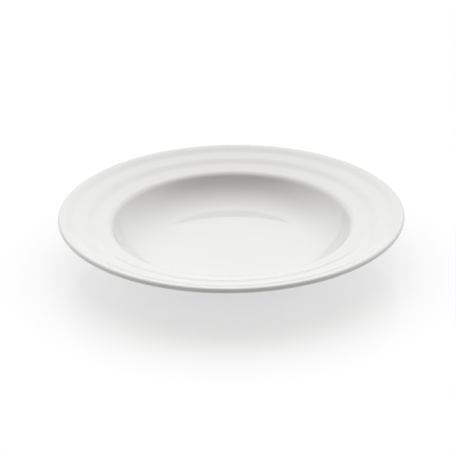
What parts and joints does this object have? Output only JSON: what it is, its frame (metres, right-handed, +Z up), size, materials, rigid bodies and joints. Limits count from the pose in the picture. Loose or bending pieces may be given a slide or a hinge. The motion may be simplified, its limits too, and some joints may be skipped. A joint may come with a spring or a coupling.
{
  "type": "pasta plate",
  "caption": "Round white glazed porcelain pasta plate: a deep coved well for sauced food, a wide rim that climbs in two soft steps, a rounded lip and a bare foot ring.",
  "frame": {"origin": "centre of the foot ring's standing face, on the table", "axes": "+Z up along the plate's axis of revolution; X and Y are alike"},
  "size_m": [0.3, 0.3, 0.048],
  "materials": {
    "bare_porcelain": "matte",
    "white_glaze": "gloss"
  },
  "bodies": {
    "root": {"porcelain_body": "bare_porcelain", "glaze_coat": "white_glaze", "base_glaze": "white_glaze"}
  },
  "joints": []
}
